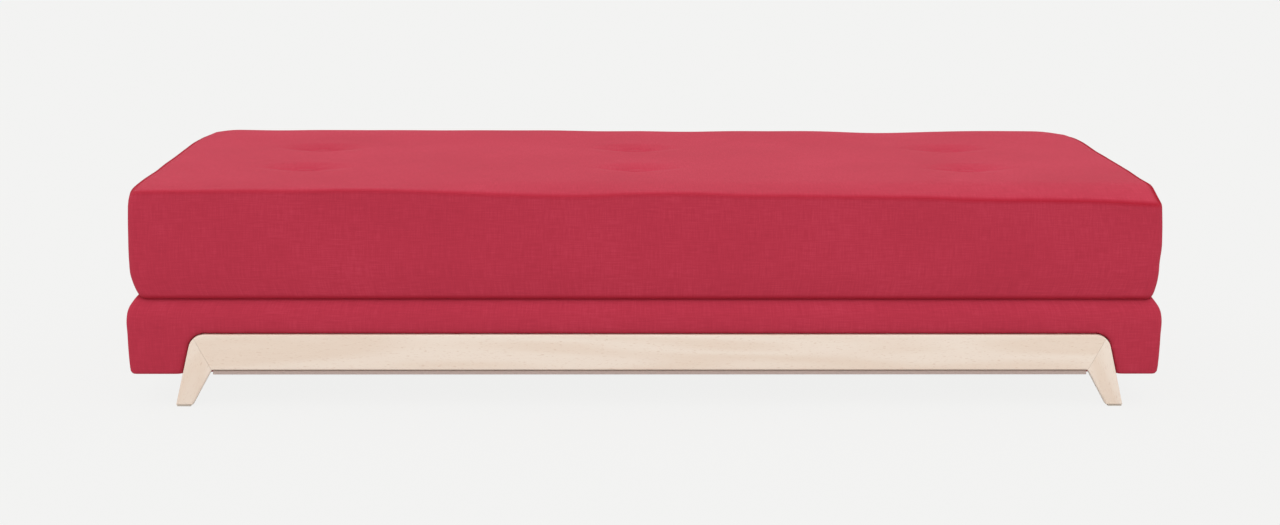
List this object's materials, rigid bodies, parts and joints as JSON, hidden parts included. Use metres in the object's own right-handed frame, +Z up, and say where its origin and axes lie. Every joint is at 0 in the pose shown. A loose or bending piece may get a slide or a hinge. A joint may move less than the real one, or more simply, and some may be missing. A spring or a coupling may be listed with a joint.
{
  "type": "sofa bed",
  "caption": "Low sofa bed: a tufted mattress on an upholstered base with splayed wooden leg frames; the mattress turns over the rear edge onto the floor to make a wide bed.",
  "frame": {"origin": "on the floor, under the middle of the bounding box", "axes": "+X along the length, to the right as seen from the front; +Y to the back; +Z up. The front faces -Y."},
  "size_m": [2.016, 0.904, 0.4288],
  "materials": {
    "red_fabric": "woven",
    "rail_and_leg_wood": "matt lacquer",
    "slat_wood": "satin",
    "box_wood": "sawn",
    "foam": "open cell",
    "dust_cover": "non-woven",
    "felt": "pressed",
    "steel": "zinc plated",
    "zip": "woven tape and moulded chain"
  },
  "bodies": {
    "base": {"base_band": "red_fabric", "base_cover": "red_fabric", "base_dust_cover": "dust_cover", "base_edge_padding": "foam", "base_top_foam": "foam", "centre_beam": "box_wood", "front_board": "box_wood", "front_bolt_1": "steel", "front_bolt_2": "steel", "front_bolt_3": "steel", "front_left_corner_block": "box_wood", "front_left_glide": "felt", "front_left_leg": "rail_and_leg_wood", "front_left_tenon": "box_wood", "front_rail": "rail_and_leg_wood", "front_right_corner_block": "box_wood", "front_right_glide": "felt", "front_right_leg": "rail_and_leg_wood", "front_right_tenon": "box_wood", "front_slat_ledger": "box_wood", "left_board": "box_wood", "rear_board": "box_wood", "rear_bolt_1": "steel", "rear_bolt_2": "steel", "rear_bolt_3": "steel", "rear_left_corner_block": "box_wood", "rear_left_glide": "felt", "rear_left_leg": "rail_and_leg_wood", "rear_left_tenon": "box_wood", "rear_rail": "rail_and_leg_wood", "rear_right_corner_block": "box_wood", "rear_right_glide": "felt", "rear_right_leg": "rail_and_leg_wood", "rear_right_tenon": "box_wood", "rear_slat_ledger": "box_wood", "right_board": "box_wood", "slat_01": "slat_wood", "slat_02": "slat_wood", "slat_03": "slat_wood", "slat_04": "slat_wood", "slat_05": "slat_wood", "slat_06": "slat_wood", "slat_07": "slat_wood", "slat_08": "slat_wood", "slat_09": "slat_wood", "slat_10": "slat_wood", "slat_11": "slat_wood"},
    "mattress": {"button_tie_1": "red_fabric", "button_tie_2": "red_fabric", "button_tie_3": "red_fabric", "button_tie_4": "red_fabric", "button_tie_5": "red_fabric", "button_tie_6": "red_fabric", "mattress_band": "red_fabric", "mattress_core": "foam", "mattress_cover": "red_fabric", "mattress_zip": "zip"},
    "zip_slider": {"zip_slider": "steel"}
  },
  "joints": [
    {"name": "mattress_turn", "type": "hinge", "parent": "base", "child": "mattress", "pos_m": [0, 0.4526, 0.2165], "axis": [-1, 0, 0], "range_deg": [0, 180]},
    {"name": "zip_slide", "type": "slide", "parent": "mattress", "child": "zip_slider", "axis": [0, 1, 0], "range_m": [0, 0.74]}
  ]
}
